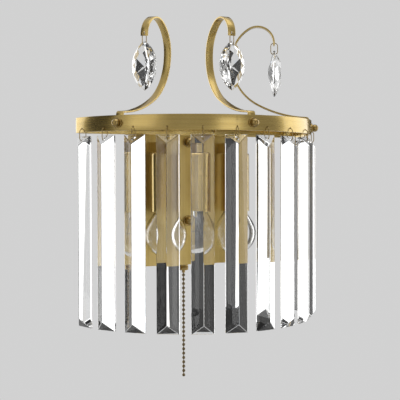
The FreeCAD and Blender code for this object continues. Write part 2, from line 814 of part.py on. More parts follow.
# ---------- every piece by name ----------
def all_pieces():
    pieces = {
        "wall_strap": make_wall_strap(),
        "mounting_studs": make_mounting_studs(),
        "backplate": make_backplate(),
        "plate_cap_nuts": make_plate_cap_nuts(),
        "ring_hoop": make_ring_hoop(),
        "ring_bar_screws": make_ring_bar_screws(),
        "scroll_screws": make_scroll_screws(),
        "scroll_cap_nuts": make_scroll_cap_nuts(),
        "switch_housing": make_switch_housing(),
        "switch_nut": make_switch_nut(),
        "switch_spring": make_switch_spring(),
        "pull_rod": make_pull_rod(),
        "pull_chain": make_pull_chain(),
        "terminal_block": make_terminal_block(),
        "lead_wires": make_lead_wires(),
    }
    for name, angle, lean in zip(scroll_names, scroll_angles, scroll_leans):
        pieces["scroll_" + name] = make_scroll(angle, lean)
        pieces["pendant_ring_" + name] = make_pendant_ring(angle, lean)
        pieces["pendant_" + name] = make_pendant(angle, lean)
    for number, angle in enumerate(prism_angles(), start=1):
        pieces["prism_%02d" % number] = make_prism(angle)
        pieces["prism_hook_%02d" % number] = make_prism_hook(angle)
    for name, side in (("left", -1), ("right", 1)):
        pieces["lamp_arm_" + name] = make_lamp_arm(side)
        pieces["lamp_sleeve_" + name] = make_lamp_sleeve(side)
        pieces["lampholder_" + name] = make_lampholder(side)
        pieces["bulb_cap_" + name] = make_bulb_cap(side)
        pieces["bulb_glass_" + name] = make_bulb_glass(side)
        pieces["bulb_filament_" + name] = make_bulb_filament(side)
    return pieces


os.makedirs("parts", exist_ok=True)
for piece_name, piece in all_pieces().items():
    piece.exportStep("parts/%s.step" % piece_name)
    print("%-22s solids %d  valid %s  volume %.1f"
          % (piece_name, len(piece.Solids), piece.isValid(), piece.Volume))
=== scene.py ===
import bpy
import bmesh
import json
import math
from mathutils import Matrix, Vector


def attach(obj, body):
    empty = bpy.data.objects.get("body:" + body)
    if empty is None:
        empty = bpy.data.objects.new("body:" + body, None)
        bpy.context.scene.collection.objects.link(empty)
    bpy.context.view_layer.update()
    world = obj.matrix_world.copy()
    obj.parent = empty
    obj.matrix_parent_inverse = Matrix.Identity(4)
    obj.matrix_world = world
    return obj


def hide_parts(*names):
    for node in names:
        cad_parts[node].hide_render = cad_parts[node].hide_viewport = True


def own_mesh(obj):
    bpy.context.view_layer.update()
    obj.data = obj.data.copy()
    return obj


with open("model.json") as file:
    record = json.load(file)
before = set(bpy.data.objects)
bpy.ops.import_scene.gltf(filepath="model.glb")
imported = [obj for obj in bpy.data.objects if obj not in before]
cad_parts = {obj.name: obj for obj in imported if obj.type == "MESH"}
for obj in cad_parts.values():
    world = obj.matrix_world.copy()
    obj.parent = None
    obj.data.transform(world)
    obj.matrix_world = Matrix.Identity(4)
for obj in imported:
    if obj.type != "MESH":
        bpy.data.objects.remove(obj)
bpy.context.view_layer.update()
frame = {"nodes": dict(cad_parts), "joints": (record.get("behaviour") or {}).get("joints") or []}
nodes = frame["nodes"]
print("frame loaded, %d nodes" % len(nodes))

mm = 0.001
zAxis = Vector((0, 0, 1))

# places and counts that several pieces share
wallPlate = {"front": -20 * mm, "bandMiddle": 55.5 * mm}
ringReach = 130.0 * mm        # from the ring's axis to its outer face
prismCount, prismPitch = 12, 14.7
prismAngles = [(n - (prismCount - 1) / 2) * prismPitch for n in range(prismCount)]
scrollAngles = {"left": -58.8, "front": 0.0, "right": 58.8}
scrollLeans = {"left": 3.3, "front": 0.0, "right": 0.0}
lampSides = {"left": -41.0 * mm, "right": 41.0 * mm}
lampDepth, lampRadius = -48.5 * mm, 15.0 * mm
drillLength = {"strip": 6.0 * mm, "stone": 30.0 * mm}
smoothBelow = {"strip": 35, "turned": 40, "cap": 50, "round": 60}   # degrees between two faces


# ---------- camera ----------
photoCamera = {
    "place": (-503.74 * mm, -952.92 * mm, 2.84 * mm),
    "yaw": 29.069,      # degrees to the right of straight at the wall
    "pitch": -1.2275,
    "roll": 0.129,
    "lens": 90.23,
    "sensor": 36.0,
    "clip": (0.05, 100),
}


def makeCamera():
    yaw, pitch, roll = (math.radians(photoCamera[k]) for k in ("yaw", "pitch", "roll"))
    ahead = Vector((math.sin(yaw) * math.cos(pitch), math.cos(yaw) * math.cos(pitch), math.sin(pitch)))
    level = Vector((math.cos(yaw), -math.sin(yaw), 0))
    upward = level.cross(ahead)
    right = level * math.cos(roll) - upward * math.sin(roll)
    top = level * math.sin(roll) + upward * math.cos(roll)
    data = bpy.data.cameras.new("photoCamera")
    data.lens = photoCamera["lens"]
    data.sensor_width = photoCamera["sensor"]
    data.clip_start, data.clip_end = photoCamera["clip"]
    camera = bpy.data.objects.new("photoCamera", data)
    bpy.context.scene.collection.objects.link(camera)
    turn = Matrix((right, top, -ahead)).transposed().to_4x4()
    camera.matrix_world = Matrix.Translation(photoCamera["place"]) @ turn
    bpy.context.scene.camera = camera


makeCamera()
bpy.context.scene.view_settings.view_transform = "Standard"
print("camera set")


# ---------- small helpers ----------
def smoothMesh(mesh, angle):
    # smooth shading, with sharp edges kept where faces meet steeply
    if angle is not None:
        mesh.shade_smooth()
        mesh.set_sharp_from_angle(angle=math.radians(angle))


def objectFrom(name, bm, smoothAngle=None):
    mesh = bpy.data.meshes.new(name)
    bm.to_mesh(mesh)
    bm.free()
    smoothMesh(mesh, smoothAngle)
    piece = bpy.data.objects.new(name, mesh)
    bpy.context.scene.collection.objects.link(piece)
    return piece


def outward(bm, gap=0.002 * mm):
    bmesh.ops.remove_doubles(bm, verts=bm.verts, dist=gap)
    bmesh.ops.recalc_face_normals(bm, faces=bm.faces)


def vertsOf(geom):
    return [v for v in geom if isinstance(v, bmesh.types.BMVert)]


def facesOf(geom):
    return [f for f in geom if isinstance(f, bmesh.types.BMFace)]


def fillHoles(bm):
    bmesh.ops.holes_fill(bm, edges=[e for e in bm.edges if e.is_boundary], sides=0)


def quarterTurn(bm, axis):
    bmesh.ops.rotate(bm, cent=(0, 0, 0), matrix=Matrix.Rotation(math.radians(90), 3, axis), verts=bm.verts)


def cutWith(piece, cutters, smoothAngle=None):
    # subtract one bmesh of cutters and bake the result into the mesh
    outward(cutters)
    tool = objectFrom("cutter", cutters)
    cut = piece.modifiers.new("cut", "BOOLEAN")
    cut.object = tool
    cut.operation = "DIFFERENCE"
    cut.solver = "EXACT"
    graph = bpy.context.evaluated_depsgraph_get()
    mesh = bpy.data.meshes.new_from_object(piece.evaluated_get(graph))
    piece.modifiers.clear()
    old = piece.data
    piece.data = mesh
    mesh.name = piece.name
    bpy.data.meshes.remove(old)
    bpy.data.objects.remove(tool)
    smoothMesh(mesh, smoothAngle)


def addDrill(bm, radius, kind, middle, direction, sides=24):
    turn = Vector(direction).normalized().to_track_quat("Z", "Y").to_matrix().to_4x4()
    bmesh.ops.create_cone(bm, cap_ends=True, segments=sides, radius1=radius, radius2=radius,
                          depth=drillLength[kind], matrix=Matrix.Translation(middle) @ turn)


def spinProfile(points, steps, close=False):
    # (radius, height) points turned round the Z axis
    bm = bmesh.new()
    corners = [bm.verts.new((r, 0, z)) for r, z in points]
    pairs = list(zip(corners, corners[1:]))
    if close:
        pairs.append((corners[-1], corners[0]))
    edges = [bm.edges.new(pair) for pair in pairs]
    bmesh.ops.spin(bm, geom=corners + edges, cent=(0, 0, 0), axis=zAxis, dvec=(0, 0, 0),
                   angle=math.tau, steps=steps, use_merge=True, use_duplicate=False)
    outward(bm)
    return bm


def copiesOf(name, bm, places, smoothAngle):
    # one object that holds the finished form at each of the places
    form = objectFrom(name + "Form", bm)
    joined = bmesh.new()
    for place in places:
        mesh = form.data.copy()
        mesh.transform(place)
        joined.from_mesh(mesh)
        bpy.data.meshes.remove(mesh)
    bpy.data.objects.remove(form)
    return objectFrom(name, joined, smoothAngle)


def arcPoints(cx, cz, radius, fromDegrees, toDegrees, steps):
    points = []
    for n in range(steps + 1):
        t = math.radians(fromDegrees + (toDegrees - fromDegrees) * n / steps)
        points.append((cx + radius * math.cos(t), cz + radius * math.sin(t)))
    return points


def atRing(angle):
    # from the front of the ring to another place on it, round the ring's upright axis
    middle = Matrix.Translation((0, wallPlate["front"], 0))
    return middle @ Matrix.Rotation(math.radians(angle), 4, "Z") @ middle.inverted()


def ringWay(angle):
    # straight out of the ring at this place on it
    a = math.radians(angle)
    return Vector((math.sin(a), -math.cos(a), 0))


def dress(piece, body, material, replaced=()):
    piece.data.materials.clear()
    piece.data.materials.append(material)
    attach(piece, body)
    if replaced:
        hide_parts(*replaced)


# ---------- shader groups ----------
def newGroup(name, inputs, outputs):
    # a group that takes a vector and some numbers, and gives some numbers
    group = bpy.data.node_groups.new(name, "ShaderNodeTree")
    group.interface.new_socket("Vector", in_out="INPUT", socket_type="NodeSocketVector")
    for label in inputs:
        group.interface.new_socket(label, in_out="INPUT", socket_type="NodeSocketFloat")
    for label in outputs:
        group.interface.new_socket(label, in_out="OUTPUT", socket_type="NodeSocketFloat")
    return group, group.nodes.new("NodeGroupInput"), group.nodes.new("NodeGroupOutput")


def addNode(tree, kind, **settings):
    node = tree.nodes.new(kind)
    for key, value in settings.items():
        setattr(node, key, value)
    return node


def addMath(tree, operation, first, second=None):
    node = addNode(tree, "ShaderNodeMath", operation=operation)
    for socket, value in zip(node.inputs, (first, second)):
        if value is None:
            continue
        if isinstance(value, (int, float)):
            socket.default_value = value
        else:
            tree.links.new(value, socket)
    return node.outputs[0]


def setInputs(node, values):
    for label, value in values.items():
        node.inputs[label].default_value = value


def linkInputs(tree, node, sockets):
    for label, socket in sockets.items():
        tree.links.new(socket, node.inputs[label])


def spread(tree, value, low, high, toLow=0.0, toHigh=1.0):
    node = addNode(tree, "ShaderNodeMapRange")
    setInputs(node, {"From Min": low, "From Max": high, "To Min": toLow, "To Max": toHigh})
    linkInputs(tree, node, {"Value": value})
    return node.outputs[0]


def addNoise(tree, vector, scale, detail, roughness):
    noise = addNode(tree, "ShaderNodeTexNoise", noise_dimensions="3D")
    setInputs(noise, {"Detail": detail, "Roughness": roughness})
    linkInputs(tree, noise, {"Vector": vector, "Scale": scale})
    return noise.outputs["Fac"]


def makeBrushLines():
    # fine scratches that run along the last two axes, and wider soft bands of the same direction
    group, entry, out = newGroup("brushLines", ("Fine", "Wide", "Drag"), ("Scratches", "Bands"))
    squash = addNode(group, "ShaderNodeCombineXYZ")
    squash.inputs[0].default_value = 1.0
    linkInputs(group, squash, {1: entry.outputs["Drag"], 2: entry.outputs["Drag"]})
    scaled = addNode(group, "ShaderNodeVectorMath", operation="MULTIPLY")
    linkInputs(group, scaled, {0: entry.outputs["Vector"], 1: squash.outputs[0]})
    for label, target, detail in (("Fine", "Scratches", 2.0), ("Wide", "Bands", 3.0)):
        noise = addNoise(group, scaled.outputs[0], entry.outputs[label], detail, 0.6)
        linkInputs(group, out, {target: noise})
    return group


def makePatina():
    # slow cloudy change of tone, with a few darker specks
    group, entry, out = newGroup("patina", ("Size", "Specks"), ("Clouds", "Dots"))
    clouds = addNoise(group, entry.outputs["Vector"], entry.outputs["Size"], 4.0, 0.55)
    speck = addNode(group, "ShaderNodeTexVoronoi", feature="F1")
    linkInputs(group, speck, {"Vector": entry.outputs["Vector"], "Scale": entry.outputs["Specks"]})
    dots = spread(group, speck.outputs["Distance"], 0.05, 0.22, 1.0, 0.0)
    linkInputs(group, out, {"Clouds": clouds, "Dots": dots})
    return group


brushLines = makeBrushLines()
patina = makePatina()


# ---------- materials ----------
def newMaterial(name):
    material = bpy.data.materials.new(name)
    material.use_nodes = True
    tree = material.node_tree
    return material, tree, tree.nodes["Principled BSDF"]


def objectPlace(tree, move=(0, 0, 0), turn=(0, 0, 0)):
    # Object coordinates, shifted and then turned
    place = addNode(tree, "ShaderNodeTexCoord")
    shift = addNode(tree, "ShaderNodeMapping", vector_type="TEXTURE")
    setInputs(shift, {"Location": move, "Rotation": turn})
    linkInputs(tree, shift, {"Vector": place.outputs["Object"]})
    return shift.outputs[0]


def useGroup(tree, group, vector, **values):
    node = addNode(tree, "ShaderNodeGroup", node_tree=group)
    linkInputs(tree, node, {"Vector": vector})
    setInputs(node, values)
    return node


def mixColour(tree, factor, first, second):
    mix = addNode(tree, "ShaderNodeMix", data_type="RGBA")
    tree.links.new(factor, mix.inputs[0])
    for socket, value in ((mix.inputs[6], first), (mix.inputs[7], second)):
        if isinstance(value, tuple):
            socket.default_value = value + (1.0,)
        else:
            tree.links.new(value, socket)
    return mix.outputs[2]


def bumpFrom(tree, height, strength, distance):
    bump = addNode(tree, "ShaderNodeBump")
    setInputs(bump, {"Strength": strength, "Distance": distance})
    linkInputs(tree, bump, {"Height": height})
    return bump.outputs[0]


def roundAxis(tree, vector, radius):
    # (height, way round, 0) for pieces brushed round an upright axis
    parts = addNode(tree, "ShaderNodeSeparateXYZ")
    linkInputs(tree, parts, {0: vector})
    angle = addMath(tree, "ARCTAN2", parts.outputs[1], parts.outputs[0])
    joined = addNode(tree, "ShaderNodeCombineXYZ")
    linkInputs(tree, joined, {0: parts.outputs[2], 1: addMath(tree, "MULTIPLY", angle, radius)})
    return joined.outputs[0]


brassTones = {
    "dark": (0.35, 0.235, 0.065),
    "middle": (0.48, 0.34, 0.100),
    "light": (0.57, 0.42, 0.140),
    # this tone marks real wear in the specks and is painted shade on the turned pieces
    "wornAndShade": (0.26, 0.175, 0.05),
}
brassLook = {
    "clouds": {"Size": 26.0, "Specks": 520.0},
    "bandSpan": (0.30, 0.72),
    "shadeSpan": (0.42, 0.70, 0.0, 0.45),
    "specks": 0.05,
    "gloss": (-0.05, 0.06),       # how the scratches change the roughness
    "bumpDistance": 0.08 * mm,
}


def brushedBrass(name, pick, fine, wide, drag, roughness=0.25, bump=0.04, coat=0.6,
                 tones=("middle", "light")):
    # pick gives the vector whose first axis runs across the brush lines
    material, tree, shader = newMaterial(name)
    lines = useGroup(tree, brushLines, pick(tree), Fine=fine, Wide=wide, Drag=drag)
    clouds = useGroup(tree, patina, objectPlace(tree), **brassLook["clouds"])
    bands = spread(tree, lines.outputs["Bands"], *brassLook["bandSpan"])
    tone = mixColour(tree, bands, *(brassTones[label] for label in tones))
    shade = spread(tree, clouds.outputs["Clouds"], *brassLook["shadeSpan"])
    tone = mixColour(tree, shade, tone, brassTones["dark"])
    specks = addMath(tree, "MULTIPLY", clouds.outputs["Dots"], brassLook["specks"])
    tone = mixColour(tree, specks, tone, brassTones["wornAndShade"])
    scratches = lines.outputs["Scratches"]
    rough = spread(tree, scratches, 0.25, 0.75, *(roughness + change for change in brassLook["gloss"]))
    normal = bumpFrom(tree, scratches, bump, brassLook["bumpDistance"])
    linkInputs(tree, shader, {"Base Color": tone, "Roughness": rough, "Normal": normal})
    setInputs(shader, {"Metallic": 1.0, "Coat Weight": coat, "Coat Roughness": 0.08, "Coat IOR": 1.5})
    return material


def pickAcross(turn):
    return lambda tree: objectPlace(tree, turn=(0, 0, math.radians(turn)))


def pickRound(x, y, radius):
    return lambda tree: roundAxis(tree, objectPlace(tree, move=(x, y, 0)), radius)


bandBrass = brushedBrass("bandBrass", pickRound(0, wallPlate["front"], ringReach), fine=1500, wide=420,
                         drag=0.02)
plateBrass = brushedBrass("plateBrass", pickAcross(0), fine=1300, wide=300, drag=0.015, roughness=0.38,
                          bump=0.08, coat=0.5)
sleeveBrass = {
    side: brushedBrass("sleeveBrass" + side.title(), pickRound(x, lampDepth, lampRadius), fine=1400, wide=380,
                       drag=0.03, roughness=0.20, coat=1.0)
    for side, x in lampSides.items()
}
scrollBrass = {
    name: brushedBrass("scrollBrass" + name.title(), pickAcross(angle), fine=1000, wide=300, drag=0.02,
                       roughness=0.30, bump=0.012)
    for name, angle in scrollAngles.items()
}
# painted shade: the turned pieces are brushed in the worn and dark tones, colour that stands in for the dark
# surroundings their round faces mirror
paintedDarkTurnedBrass = brushedBrass("paintedDarkTurnedBrass", pickAcross(45), fine=1600, wide=500, drag=0.5, roughness=0.2,
                           tones=("wornAndShade", "dark"))
crystalTints = {"clear": (0.985, 0.988, 0.985), "blue": (0.80, 0.89, 1.0), "gold": (1.0, 0.94, 0.82)}


def acrossRing(tree):
    # (way round the ring, height, 0), so that lines stand upright on every bar
    parts = addNode(tree, "ShaderNodeSeparateXYZ")
    linkInputs(tree, parts, {0: objectPlace(tree, move=(0, wallPlate["front"], 0))})
    angle = addMath(tree, "ARCTAN2", parts.outputs[0], parts.outputs[1])
    joined = addNode(tree, "ShaderNodeCombineXYZ")
    linkInputs(tree, joined, {0: addMath(tree, "MULTIPLY", angle, ringReach), 1: parts.outputs[2]})
    return joined.outputs[0]


def makeCrystal(name, pick, wide, drag, ior):
    # clear lead glass; the slightest blue and gold tint in soft random bands is painted light, standing in
    # for light that the glass would split
    material, tree, shader = newMaterial(name)
    lines = useGroup(tree, brushLines, pick(tree), Fine=wide * 4, Wide=wide, Drag=drag)
    bands = lines.outputs["Bands"]
    cool = mixColour(tree, spread(tree, bands, 0.60, 0.70), crystalTints["clear"], crystalTints["blue"])
    tone = mixColour(tree, spread(tree, bands, 0.30, 0.40, 1.0, 0.0), cool, crystalTints["gold"])
    rough = spread(tree, lines.outputs["Scratches"], 0.3, 0.8, 0.0, 0.015)
    linkInputs(tree, shader, {"Base Color": tone, "Roughness": rough})
    setInputs(shader, {"Metallic": 0.0, "Transmission Weight": 1.0, "IOR": ior})
    return material


def makeCloudy(name, light, dark, rough, sizes, looks, bump=None, toneSpan=(0.35, 0.65),
               roughSpan=(0.3, 0.7)):
    # tone and gloss change slowly; sizes are the scales of the clouds and of the dots
    material, tree, shader = newMaterial(name)
    marks = useGroup(tree, patina, objectPlace(tree), Size=sizes[0], Specks=sizes[1])
    clouds = marks.outputs["Clouds"]
    linkInputs(tree, shader, {"Base Color": mixColour(tree, spread(tree, clouds, *toneSpan), light, dark),
                              "Roughness": spread(tree, clouds, *roughSpan, *rough)})
    if bump:
        height, strength = bump
        linkInputs(tree, shader, {"Normal": bumpFrom(tree, marks.outputs[height], strength, 0.05 * mm)})
    setInputs(shader, looks)
    return material


metal, moulded, clear = {"Metallic": 1.0}, {}, {"Transmission Weight": 1.0, "IOR": 1.5}
castBump, mouldBump = ("Clouds", 0.12), ("Dots", 0.10)
wireBrass = makeCloudy("wireBrass", (0.40, 0.29, 0.12), (0.24, 0.17, 0.07), (0.18, 0.34), (320, 1500), metal)
# painted reflection: the chain's brass is darkened to how it looks when it mirrors dark surroundings
chainBrassPaintedDark = makeCloudy("chainBrassPaintedDark", (0.22, 0.165, 0.085), (0.12, 0.09, 0.05), (0.18, 0.34), (320, 1500),
                        metal)
barCrystal = makeCrystal("barCrystal", acrossRing, 420.0, 0.01, 1.55)
pendantCrystal = makeCrystal("pendantCrystal", pickAcross(30), 160.0, 1.0, 1.6)
bulbGlass = makeCloudy("bulbGlass", (0.98, 0.98, 0.975), (0.94, 0.945, 0.94), (0.0, 0.03), (30, 900), clear,
                       toneSpan=(0.4, 0.7), roughSpan=(0.3, 0.8))
nickel = makeCloudy("nickel", (0.66, 0.64, 0.60), (0.48, 0.47, 0.44), (0.16, 0.32), (160, 1440), metal,
                    castBump)
zincSteel = makeCloudy("zincSteel", (0.60, 0.61, 0.62), (0.44, 0.45, 0.47), (0.32, 0.48), (90, 810), metal,
                       castBump)
filamentWire = makeCloudy("filamentWire", (0.24, 0.23, 0.22), (0.14, 0.13, 0.13), (0.34, 0.50), (400, 3600),
                          metal, castBump)
phenolic = makeCloudy("phenolic", (0.022, 0.021, 0.020), (0.042, 0.038, 0.034), (0.37, 0.54), (60, 360),
                      moulded, mouldBump)
whiteNylon = makeCloudy("whiteNylon", (0.80, 0.79, 0.75), (0.70, 0.69, 0.64), (0.40, 0.57), (70, 420),
                        moulded, mouldBump)
print("materials made")


# ---------- ring band ----------
ringBand = {
    "radius": 129.0 * mm,       # middle of the strip
    "thickness": 2.0 * mm,
    "bottom": 48.0 * mm,
    "height": 15.0 * mm,
    "corner": 9.0 * mm,
    "cornerSteps": 14,
    "frontSteps": 150,
    "edge": 0.45 * mm,
    "hookHole": 0.9 * mm,
    "hookRise": 3.7 * mm,
    "screwHole": 2.2 * mm,
    "barScrewHole": 1.95 * mm,
    "barScrewSpread": 31.0 * mm,
}


def stripSection(bm, width, thickness, edge):
    # a rectangle with rounded corners in the XZ plane, its middle on the origin
    made = bmesh.ops.create_grid(bm, x_segments=1, y_segments=1, size=0.5)
    bmesh.ops.scale(bm, vec=(thickness, width, 1), verts=made["verts"])
    quarterTurn(bm, "X")
    bmesh.ops.bevel(bm, geom=made["verts"], offset=edge, offset_type="OFFSET", segments=2, profile=0.5,
                    affect="VERTICES", material=-1)
    return bm.faces[:]


def pushFaces(bm, faces, step):
    pushed = bmesh.ops.extrude_face_region(bm, geom=faces)["geom"]
    bmesh.ops.translate(bm, vec=step, verts=vertsOf(pushed))
    bmesh.ops.delete(bm, geom=faces, context="FACES_ONLY")
    return facesOf(pushed)


def bendFaces(bm, faces, centre, axis, angle, steps):
    border = list({v for f in faces for v in f.verts}) + list({e for f in faces for e in f.edges}) + faces
    made = bmesh.ops.spin(bm, geom=border, cent=centre, axis=axis, dvec=(0, 0, 0), angle=angle,
                          steps=steps, use_merge=False, use_duplicate=False)
    return facesOf(made["geom_last"])


def makeBand():
    front = wallPlate["front"]
    half, corner = ringBand["radius"], ringBand["corner"]
    barY = front - ringBand["thickness"] / 2
    # the corner circle touches the bar's middle line and the round front's middle line
    cornerY = barY - corner
    cornerX = math.sqrt((half - corner) ** 2 - (cornerY - front) ** 2)
    cornerTurn = math.pi / 2 + math.asin((front - cornerY) / (half - corner))
    middleZ = ringBand["bottom"] + ringBand["height"] / 2
    bm = bmesh.new()
    faces = stripSection(bm, ringBand["height"], ringBand["thickness"], ringBand["edge"])
    # the section starts across the bar, looking along +X
    quarterTurn(bm, "Z")
    bmesh.ops.translate(bm, vec=(0, barY, middleZ), verts=bm.verts)
    faces = pushFaces(bm, faces, (cornerX, 0, 0))
    bends = ((cornerX, cornerY, -cornerTurn, ringBand["cornerSteps"]),
             (0, front, 2 * cornerTurn - math.tau, ringBand["frontSteps"]),
             (-cornerX, cornerY, -cornerTurn, ringBand["cornerSteps"]))
    for x, y, turn, steps in bends:
        faces = bendFaces(bm, faces, (x, y, middleZ), zAxis, turn, steps)
    faces = pushFaces(bm, faces, (cornerX, 0, 0))
    bmesh.ops.delete(bm, geom=faces, context="FACES_ONLY")
    outward(bm)
    band = objectFrom("ringBand", bm)
    drills = bmesh.new()
    hookZ = ringBand["bottom"] + ringBand["hookRise"]
    for angles, radius, z, sides in ((prismAngles, ringBand["hookHole"], hookZ, 16),
                                     (scrollAngles.values(), ringBand["screwHole"], middleZ, 24)):
        for angle in angles:
            way = ringWay(angle)
            addDrill(drills, radius, "strip", way * half + Vector((0, front, z)), way, sides)
    for side in (1, -1):
        middle = (side * ringBand["barScrewSpread"], barY, middleZ)
        addDrill(drills, ringBand["barScrewHole"], "strip", middle, (0, 1, 0))
    cutWith(band, drills, smoothBelow["strip"])
    dress(band, "root", bandBrass, ("ring_hoop",))


makeBand()
print("band made")


# ---------- scrolls ----------
scrollStrip = {
    "width": 8.0 * mm,
    "thickness": 1.8 * mm,
    "edge": 0.45 * mm,
    "tabRadius": 127.0 * mm,      # from the ring's axis to the middle of the tab
    "tabEnd": 50.8 * mm,
    "tab": 13.0 * mm,
    "flat": 3.4 * mm,
    "bends": ((2.4, -86.0, 10), (118.0, 24.5, 12), (51.0, 70.0, 22), (38.0, 49.0, 16), (17.4, 131.0, 26)),
    "hole": 1.2 * mm,
    "holeInset": 3.0 * mm,
}


def makeScroll(name):
    front = wallPlate["front"]
    bm = bmesh.new()
    faces = stripSection(bm, scrollStrip["width"], scrollStrip["thickness"], scrollStrip["edge"])
    # width along X, thickness along Y, heading +Z
    quarterTurn(bm, "Y")
    quarterTurn(bm, "X")
    spot = Vector((0, front - scrollStrip["tabRadius"], scrollStrip["tabEnd"]))
    bmesh.ops.translate(bm, vec=spot, verts=bm.verts)
    heading = math.radians(90)
    along = Vector((0, 0, 1))
    faces = pushFaces(bm, faces, along * scrollStrip["tab"])
    spot += along * scrollStrip["tab"]
    for n, (radius, sweep, steps) in enumerate(scrollStrip["bends"]):
        if n == 1:
            # the tab's bend ends in a short flat
            along = Vector((0, math.cos(heading), math.sin(heading)))
            faces = pushFaces(bm, faces, along * scrollStrip["flat"])
            spot += along * scrollStrip["flat"]
        normal = Vector((0, -math.sin(heading), math.cos(heading)))
        centre = spot + normal * math.copysign(radius * mm, sweep)
        turn = math.radians(sweep)
        faces = bendFaces(bm, faces, centre, (1, 0, 0), turn, steps)
        spot = centre + Matrix.Rotation(turn, 3, "X") @ (spot - centre)
        heading += turn
    fillHoles(bm)
    outward(bm)
    scroll = objectFrom("scroll" + name.title(), bm)
    drills = bmesh.new()
    back = Vector((0, -math.cos(heading), -math.sin(heading)))
    across = Vector((0, -math.sin(heading), math.cos(heading)))
    addDrill(drills, scrollStrip["hole"], "strip", spot + back * scrollStrip["holeInset"], across)
    screw = (0, front - scrollStrip["tabRadius"], wallPlate["bandMiddle"])
    addDrill(drills, ringBand["screwHole"], "strip", screw, (0, 1, 0))
    cutWith(scroll, drills, smoothBelow["strip"])
    pivot = Matrix.Translation((0, 0, wallPlate["bandMiddle"]))
    leaned = pivot @ Matrix.Rotation(math.radians(scrollLeans[name]), 4, "Y") @ pivot.inverted()
    scroll.data.transform(atRing(scrollAngles[name]) @ leaned)
    dress(scroll, "root", scrollBrass[name], ("scroll_" + name,))


for scrollName in scrollAngles:
    makeScroll(scrollName)
print("scrolls made")


# ---------- crystal bars ----------
crystalBar = {
    "width": 22.0 * mm,
    "length": 187.0 * mm,
    "top": 44.2 * mm,
    "backRadius": 126.1 * mm,     # from the ring's axis to the flat back
    "side": 1.5 * mm,
    "ridge": 8.5 * mm,
    "bevelLength": 9.0 * mm,
    "edge": 0.45 * mm,
    "hole": 1.5 * mm,
    "holeDrop": 4.1 * mm,
    "twists": (1.2, 1.7, -0.9, -0.6, 0.5, -6.1, -1.6, -1.4, -3.8, -0.9, 1.3, -0.5),
}


def barTemplate():
    back = wallPlate["front"] - crystalBar["backRadius"]
    sideY, ridgeY = back - crystalBar["side"], back - crystalBar["ridge"]
    half, top = crystalBar["width"] / 2, crystalBar["top"]
    bottom = top - crystalBar["length"]
    bm = bmesh.new()
    section = [(-half, back), (half, back), (half, sideY), (0, ridgeY), (-half, sideY)]
    face = bm.faces.new([bm.verts.new((x, y, bottom)) for x, y in section])
    pushed = bmesh.ops.extrude_face_region(bm, geom=[face])["geom"]
    bmesh.ops.translate(bm, vec=(0, 0, crystalBar["length"]), verts=vertsOf(pushed))
    outward(bm)
    drop, depth = crystalBar["bevelLength"], crystalBar["ridge"] - crystalBar["side"]
    for level, way in ((top, 1), (bottom, -1)):
        # the sloped end facet starts at the side wall's front edge
        bmesh.ops.bisect_plane(bm, geom=bm.verts[:] + bm.edges[:] + bm.faces[:], dist=0.0001 * mm,
                               plane_co=(0, sideY, level), plane_no=(0, -drop, way * depth), clear_outer=True)
        fillHoles(bm)
    outward(bm)
    bmesh.ops.dissolve_limit(bm, angle_limit=math.radians(1), verts=bm.verts[:], edges=bm.edges[:])
    bmesh.ops.bevel(bm, geom=bm.edges[:], offset=crystalBar["edge"], offset_type="OFFSET", segments=2,
                    profile=0.5, affect="EDGES", material=-1, clamp_overlap=True)
    outward(bm, 0.0005 * mm)
    bar = objectFrom("crystalBarForm", bm)
    drills = bmesh.new()
    addDrill(drills, crystalBar["hole"], "stone", (0, back, top - crystalBar["holeDrop"]), (0, 1, 0), 32)
    cutWith(bar, drills)
    return bar


def makeBars():
    form = barTemplate()
    hang = Matrix.Translation((0, wallPlate["front"] - ringBand["radius"], 0))
    for n, angle in enumerate(prismAngles):
        name = "%02d" % (n + 1)
        bar = bpy.data.objects.new("crystalBar" + name, form.data.copy())
        bpy.context.scene.collection.objects.link(bar)
        twist = hang @ Matrix.Rotation(math.radians(crystalBar["twists"][n]), 4, "Z") @ hang.inverted()
        bar.data.transform(atRing(angle) @ twist)
        bar.visible_shadow = False
        dress(bar, "prism_" + name, barCrystal, ("prism_" + name,))
    bpy.data.objects.remove(form)


makeBars()
print("crystal bars made")


# ---------- pendants ----------
pendantStone = {
    "height": 48.0 * mm,
    "width": 28.0 * mm,
    "thickness": 13.4 * mm,
    "hole": 1.4 * mm,
    "holeDrop": 3.5 * mm,
    "hang": 12.3 * mm,        # wire ring, top to bottom
    "bend": 3.6 * mm,
    "seat": 0.7 * mm,
    "frontTiers": ((1.0, 0.10, 28, 0.0), (0.84, 0.46, 14, 0.5), (0.50, 1.0, 8, 0.5)),
    "backTiers": ((1.0, 0.10, 28, 0.0), (0.72, 0.42, 14, 0.5), (0.10, 1.0, 6, 0.5)),
}


def pointedRing(bm, share, y, sides, shift):
    # a ring of corners on a pointed oval that faces the room
    height, width = pendantStone["height"] / 2 * share, pendantStone["width"] / 2 * share
    bow = (height ** 2 + width ** 2) / (2 * width)
    made = bmesh.ops.create_circle(bm, cap_ends=False, segments=sides, radius=1.0)["verts"]
    for n, v in enumerate(made):
        t = math.tau * (n + shift) / sides
        z, side, x = height * math.cos(t), math.sin(t), 0.0
        # the two points lie on the middle line
        if abs(side) > 1e-6:
            x = math.copysign(math.sqrt(bow ** 2 - z ** 2) - (bow - width), side)
        v.co = (x, y, z)


